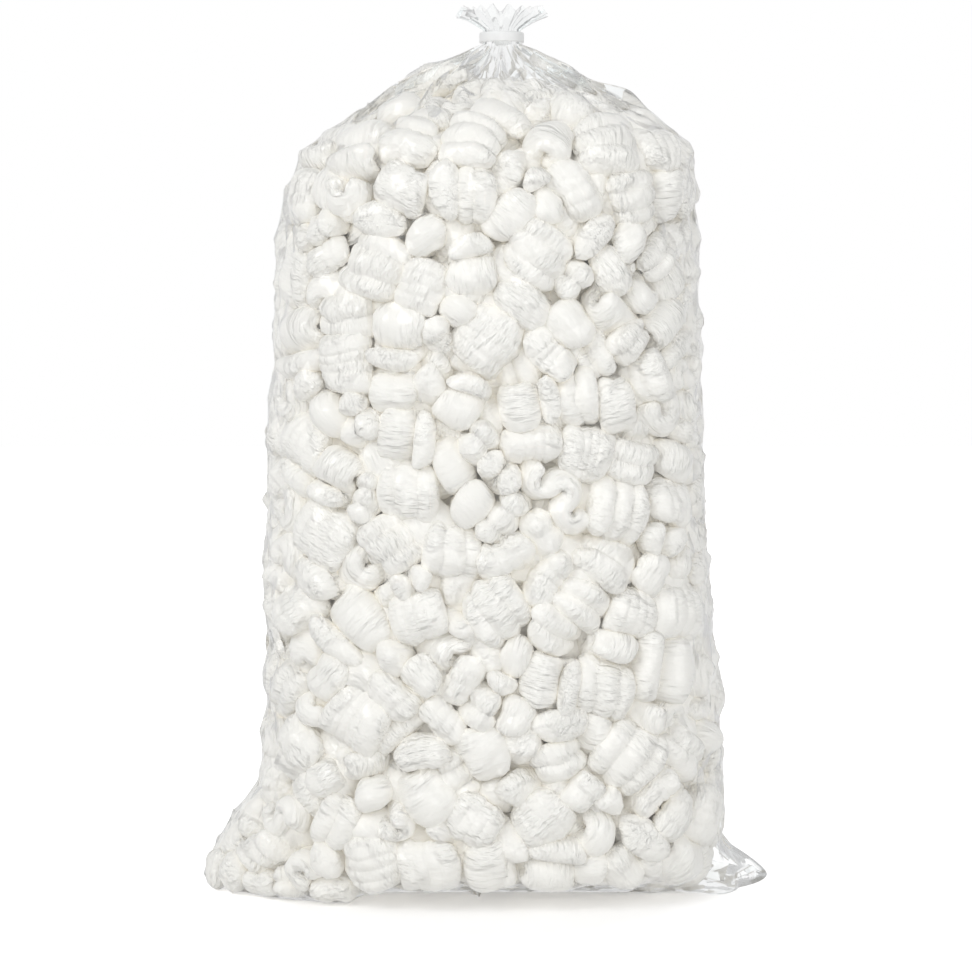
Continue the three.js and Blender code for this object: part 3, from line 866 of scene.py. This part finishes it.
def slack_film(form):
    """The film as a grid of rows and columns, from the middle of the foot to the mouth, and its heights."""
    angle = even_angles(form, FILM_COLUMNS)
    heights = film_heights(form)
    spread = np.linspace(0, 1, FOOT_ROWS + 1)[1:-1]
    foot = spread[:, None] * film_radius(form, angle, 0 * angle)[None]
    radius = np.concatenate([foot, film_radius(form, angle[None], heights[:, None])])
    heights = np.concatenate([0 * spread, heights])[:, None]
    across = axis_at(form, heights) + radius * np.cos(angle)
    deep = radius * np.sin(angle)
    lift = foot_lift(form, across, deep) * (1 - share_of(heights, 0, form.foot_round))
    points = np.stack([across, deep, np.broadcast_to(heights, across.shape) + lift + 0.2 * MM], -1)
    return points, heights, angle


def facing_of(points):
    """The way out of the bag at each point of the film."""
    round_it = np.roll(points, -1, axis=1) - np.roll(points, 1, axis=1)
    up = np.gradient(points, axis=0)
    facing = np.cross(round_it, up)
    return facing / (np.linalg.norm(facing, axis=-1, keepdims=True) + 1e-12)


def chips_below(pieces, points, facing, reach, depth):
    """How high the chips stand under each point of the film, measured along its facing."""
    depsgraph = bpy.context.evaluated_depsgraph_get()
    reaches = [np.array(piece.bound_box)[[0, 6], 2] for piece in pieces]
    trees = [(BVHTree.FromObject(piece, depsgraph), *span) for piece, span in zip(pieces, reaches)]
    flat_points, flat_facing = points.reshape(-1, 3), facing.reshape(-1, 3)
    found = np.full(len(flat_points), -depth)
    for i, (point, way) in enumerate(zip(flat_points.tolist(), flat_facing.tolist())):
        start = Vector(point) + reach * Vector(way)
        for tree, low, high in trees:
            if low - depth < point[2] < high + depth:
                distance = tree.ray_cast(start, -Vector(way), reach + depth)[3]
                if distance is not None:
                    found[i] = max(found[i], reach - distance)
    return found.reshape(points.shape[:2])


def tighten(points, facing, floor, loose, rounds):
    """Draws the film tight over what it holds: the loose points move along their facing to the mean of
    their neighbours, and never below the floor that the chips give."""
    lift = np.maximum(floor, 0)
    for _ in range(rounds):
        drawn = points + facing * lift[..., None]
        mean = (np.roll(drawn, 1, axis=1) + np.roll(drawn, -1, axis=1)) / 4
        mean[1:-1] += (drawn[2:] + drawn[:-2]) / 4
        mean[0], mean[-1] = drawn[0], drawn[-1]
        wanted = ((mean - points) * facing).sum(-1)
        lift = np.where(loose, np.maximum(wanted, floor), lift)
    return lift


def eased(values, rounds):
    """The values of a grid of points, each drawn to the mean of its neighbours round by round."""
    for _ in range(rounds):
        mean = (np.roll(values, 1, axis=1) + np.roll(values, -1, axis=1)) / 2
        mean[1:-1] = (mean[1:-1] + (values[2:] + values[:-2]) / 2) / 2
        values = mean
    return values


def sharp_folds(dice, turn, heights, count, around, rise):
    """Straight folds in many directions with flat facets between them, from -1 to 1 or so."""
    total = 0
    for _ in range(count):
        slant = heights / (rise * dice.uniform(0.6, 1.6))
        phase = dice.integers(*around) * dice.choice([-1, 1]) * turn + slant + dice.random()
        total = total + 4 * np.abs(phase % 1 - 0.5) - 1
    return total / math.sqrt(count)


def fold_pattern(film, dice, turn):
    """Uneven folds round the film, from 0 on their crests to 1 in their valleys."""
    sway = 0
    for count in (2, 3, 5, 7):
        sway = sway + dice.uniform(0.3, 1.0) * np.sin(FULL_TURN * (count * turn + dice.random()))
    return 0.5 - 0.5 * np.cos(FULL_TURN * film.folds * turn + sway)


class PACKING_OT_film(bpy.types.Operator):
    """Draws the film over the chips and gathers it at the neck"""

    bl_idname = "packing.film"
    bl_label = "Wrap film"

    def execute(self, context):
        form, film = context.scene.bag_form, context.scene.film_stock
        dice = np.random.default_rng(11)
        points, heights, angle = slack_film(form)
        facing = facing_of(points)
        facing[:FOOT_ROWS] = (0, 0, -1)
        pieces = [bpy.data.objects[f"chips_{label}"] for label in BANDS]
        chip_floor = chips_below(pieces, points, facing, LOOK_OUT, LOOK_IN) + film.gap
        turn = np.arange(FILM_COLUMNS) / FILM_COLUMNS
        ear = np.abs(np.sin(angle)) < 0.012
        ear_top = np.where(np.cos(angle) < 0, form.left_ear_height, form.right_ear_height)
        held = (heights < ear_top) & ear[None, :] & (heights > 0)
        sag = mix(SAG, SHOULDER_SAG, smooth_share(heights, 330 * MM, 375 * MM))
        floor = np.where(held, 0, np.maximum(chip_floor, -sag))
        rows = np.arange(len(points))[:, None]
        loose = (rows >= FOOT_ROWS) & (heights < form.neck_bottom) & ~held
        lift = tighten(points, facing, floor, loose, TIGHTEN_ROUNDS)
        free = eased(smooth_share(lift - chip_floor, 0, SLACK), 8)
        climb = share_of(heights, form.shoulder_height - 30 * MM, form.neck_bottom)
        folds = fold_pattern(film, dice, turn)[None, :]
        neck = 0.3 * film_radius(form, angle[None], heights)
        depth = np.minimum(film.fold_depth * climb, neck) * free
        lowest = np.where(loose, chip_floor, -1)
        lift = np.where(rows >= FOOT_ROWS, np.maximum(lift - depth * folds, lowest), lift)
        slack = free * share_of(neck, 0, 12 * MM)
        creases = sharp_folds(dice, turn[None, :], heights, 5, (7, 15), 60 * MM)
        creases += 0.35 * sharp_folds(dice, turn[None, :], heights, 5, (18, 34), 28 * MM)
        lift = np.where(loose, np.maximum(lift + film.crumple * slack * (creases - 0.7), chip_floor), lift)
        shape = points + facing * lift[..., None]
        droop = waves(dice, turn[None, :], 0 * heights, 3, (0.3, 1)) - 1.2
        shape[..., 2] += 2 * MM * droop * share_of(heights, form.neck_top, form.mouth_height) ** 2
        shape[..., 2] = np.maximum(shape[..., 2], 0.3 * MM)

        grid = np.arange(shape.shape[0] * shape.shape[1]).reshape(shape.shape[:2])
        ahead = np.roll(grid, -1, axis=1)
        squares = np.stack([grid[:-1], ahead[:-1], ahead[1:], grid[1:]], -1).reshape(-1, 4).tolist()
        pole = grid.size
        fans = [[pole, b, a] for a, b in zip(grid[0], ahead[0])]
        mesh = bpy.data.meshes.new("film")
        vertices = np.vstack([shape.reshape(-1, 3), shape[0].mean(0)])
        mesh.from_pydata(vertices.tolist(), [], squares + fans, shade_flat=False)
        mesh.materials.append(polyethylene_film(film))
        crinkled = np.append(mix(STILL, 1, slack).ravel(), STILL)
        attribute = mesh.attributes.new("slack", "FLOAT", "POINT")
        attribute.data.foreach_set("value", crinkled.astype(np.float32))
        piece = link("film", mesh)
        # Light goes through clear film to what is inside; the film itself shows in what is seen directly.
        piece.visible_diffuse = False
        piece.visible_shadow = False
        piece.visible_glossy = False
        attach(piece, "root")
        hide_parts("film_bag")
        return {"FINISHED"}


# Tie


def moulded_polyamide():
    """A moulded band: white, with a soft gloss."""
    material = new_material("moulded_polyamide")
    tree = material.node_tree
    shader = add(
        tree, "ShaderNodeBsdfPrincipled", {"Base Color": linear("F2F3F3"), "Roughness": 0.34, "IOR": 1.53}
    )
    add(tree, "ShaderNodeOutputMaterial", {"Surface": shader.outputs[0]})
    return material


class PACKING_OT_tie(bpy.types.Operator):
    """Puts a band round the gathered neck"""

    bl_idname = "packing.tie"
    bl_label = "Tie neck"

    def execute(self, context):
        form = context.scene.bag_form
        turn = np.linspace(0, FULL_TURN, 96, endpoint=False)[:, None]
        section = np.linspace(0, FULL_TURN, 24, endpoint=False)[None, :]
        # The band's section is a rectangle with rounded corners.
        out, up = (np.sign(wave) * np.abs(wave) ** 0.45 for wave in (np.cos(section), np.sin(section)))
        outer, inner = (TIE_HIGH.x - TIE_LOW.x) / 2, form.neck_width / 2
        radius = (outer + inner) / 2 + (outer - inner) / 2 * out
        height = (TIE_HIGH.z + TIE_LOW.z) / 2 + (TIE_HIGH.z - TIE_LOW.z) / 2 * up
        band = [form.neck_shift + radius * np.cos(turn), radius * np.sin(turn), height + 0 * turn]
        band = np.stack(np.broadcast_arrays(*band), -1)
        grid = np.arange(turn.size * section.size).reshape(turn.size, section.size)
        ahead, above = np.roll(grid, -1, axis=0), np.roll(grid, -1, axis=1)
        squares = np.stack([grid, ahead, np.roll(ahead, -1, axis=1), above], -1).reshape(-1, 4)
        mesh = bpy.data.meshes.new("tie")
        mesh.from_pydata(band.reshape(-1, 3).tolist(), [], squares.tolist(), shade_flat=False)
        mesh.materials.append(moulded_polyamide())
        piece = link("tie", mesh)
        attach(piece, "root")
        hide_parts("neck_tie")
        return {"FINISHED"}


# Stage


class PACKING_OT_stage(bpy.types.Operator):
    """Sets the floor, the lights and the camera"""

    bl_idname = "packing.stage"
    bl_label = "Set stage"

    def execute(self, context):
        scene = context.scene
        scene.view_settings.view_transform = "Standard"
        # White foam passes light on many times, deep into the gaps of the heap.
        scene.cycles.diffuse_bounces = 14
        scene.cycles.max_bounces = 16

        # Matt paper that the camera sees as white by a glow. The shadow under the bag is partly real and
        # partly painted: the glow is dimmed near the bag, which paints shade round its foot.
        paper = new_material("white_paper")
        tree = paper.node_tree
        seen = add(tree, "ShaderNodeLightPath").outputs["Is Camera Ray"]
        place = add(tree, "ShaderNodeTexCoord").outputs["Object"]
        away = add(tree, "ShaderNodeVectorMath", {0: place}, operation="LENGTH").outputs["Value"]
        # Painted shade: the glow is 0.32 within 0.1 m of the floor's middle, under the bag, and rises to
        # full 0.19 m out.
        white = add(
            tree,
            "ShaderNodeMapRange",
            {"Value": away, "From Min": 0.1, "From Max": 0.19, "To Min": 0.32, "To Max": 1.0},
        )
        strength = add(tree, "ShaderNodeMath", {0: seen, 1: white.outputs[0]}, operation="MULTIPLY")
        glow_with_painted_shade = add(tree, "ShaderNodeEmission", {"Strength": strength.outputs[0]})
        dull = add(tree, "ShaderNodeBsdfDiffuse", {"Color": linear("F0F0F0")})
        both = add(tree, "ShaderNodeAddShader", {0: glow_with_painted_shade.outputs[0], 1: dull.outputs[0]})
        add(tree, "ShaderNodeOutputMaterial", {"Surface": both.outputs[0]})
        mesh = bpy.data.meshes.new("floor")
        side = 4.0
        corners = [(-side, -side, 0), (side, -side, 0), (side, side, 0), (-side, side, 0)]
        mesh.from_pydata(corners, [], [(0, 1, 2, 3)])
        mesh.materials.append(paper)
        floor = link("floor", mesh)
        floor.visible_glossy = False

        world = bpy.data.worlds.new("studio")
        scene.world = world
        world.use_nodes = True
        tree = world.node_tree
        tree.nodes.clear()
        path = add(tree, "ShaderNodeLightPath").outputs
        # The fill is 0.4, and the film mirrors a paler room.
        strength = add(
            tree, "ShaderNodeMath", {0: path["Is Glossy Ray"], 1: 0.53, 2: 0.4}, operation="MULTIPLY_ADD"
        ).outputs[0]
        white = add(tree, "ShaderNodeBackground", {"Color": linear("FFFFFF"), "Strength": 1.0})
        fill = add(tree, "ShaderNodeBackground", {"Color": linear("FFFFFF"), "Strength": strength})
        both = add(
            tree,
            "ShaderNodeMixShader",
            {0: path["Is Camera Ray"], 1: fill.outputs[0], 2: white.outputs[0]},
        )
        add(tree, "ShaderNodeOutputWorld", {"Surface": both.outputs[0]})

        aim = Vector((0, 0, 0.2))
        for name, place, size, power in (
            ("key", (-1.6, -1.7, 1.8), 1.7, 29),
            ("side", (1.9, -1.4, 0.9), 1.6, 10),
            ("front", (0.3, -3.2, 0.6), 2.0, 18),
            ("back", (0, 2.7, 1.1), 2.0, 20),
        ):
            light = bpy.data.lights.new(name, "AREA")
            light.shape = "SQUARE"
            light.size = size
            light.energy = power
            lamp = bpy.data.objects.new(name, light)
            scene.collection.objects.link(lamp)
            # The lamp behind would glare on the film's edges.
            lamp.visible_glossy = name != "back"
            lamp.location = place
            lamp.rotation_euler = (aim - Vector(place)).to_track_quat("-Z", "Y").to_euler()

        camera = bpy.data.cameras.new("camera")
        camera.lens = 100
        camera.sensor_width = 36
        distance = 486 * MM * camera.lens / camera.sensor_width
        raised = math.radians(4)
        aim = Vector((0.25 * MM, 0, 203.5 * MM))
        eye = bpy.data.objects.new("camera", camera)
        scene.collection.objects.link(eye)
        eye.location = aim + distance * Vector((0, -math.cos(raised), math.sin(raised)))
        eye.rotation_euler = (QUARTER - raised, 0, 0)
        scene.camera = eye
        return {"FINISHED"}


class PACKING_PT_panel(bpy.types.Panel):
    bl_label = "Packing"
    bl_idname = "PACKING_PT_panel"
    bl_space_type = "VIEW_3D"
    bl_region_type = "UI"
    bl_category = "Packing"

    def draw(self, context):
        scene = context.scene
        for group in (scene.bag_form, scene.chip_stock, scene.film_stock):
            box = self.layout.box()
            for name in type(group).__annotations__:
                box.prop(group, name)
        for operator in (PACKING_OT_chips, PACKING_OT_film, PACKING_OT_tie, PACKING_OT_stage):
            self.layout.operator(operator.bl_idname)


CLASSES = (
    BagForm,
    ChipStock,
    FilmStock,
    PACKING_OT_chips,
    PACKING_OT_film,
    PACKING_OT_tie,
    PACKING_OT_stage,
    PACKING_PT_panel,
)


def register():
    for cls in CLASSES:
        bpy.utils.register_class(cls)
    bpy.types.Scene.bag_form = PointerProperty(type=BagForm)
    bpy.types.Scene.chip_stock = PointerProperty(type=ChipStock)
    bpy.types.Scene.film_stock = PointerProperty(type=FilmStock)


def unregister():
    del bpy.types.Scene.film_stock, bpy.types.Scene.chip_stock, bpy.types.Scene.bag_form
    for cls in reversed(CLASSES):
        bpy.utils.unregister_class(cls)


def main():
    register()
    bpy.ops.packing.chips()
    bpy.ops.packing.film()
    bpy.ops.packing.tie()
    bpy.ops.packing.stage()


if __name__ == "__main__":
    main()
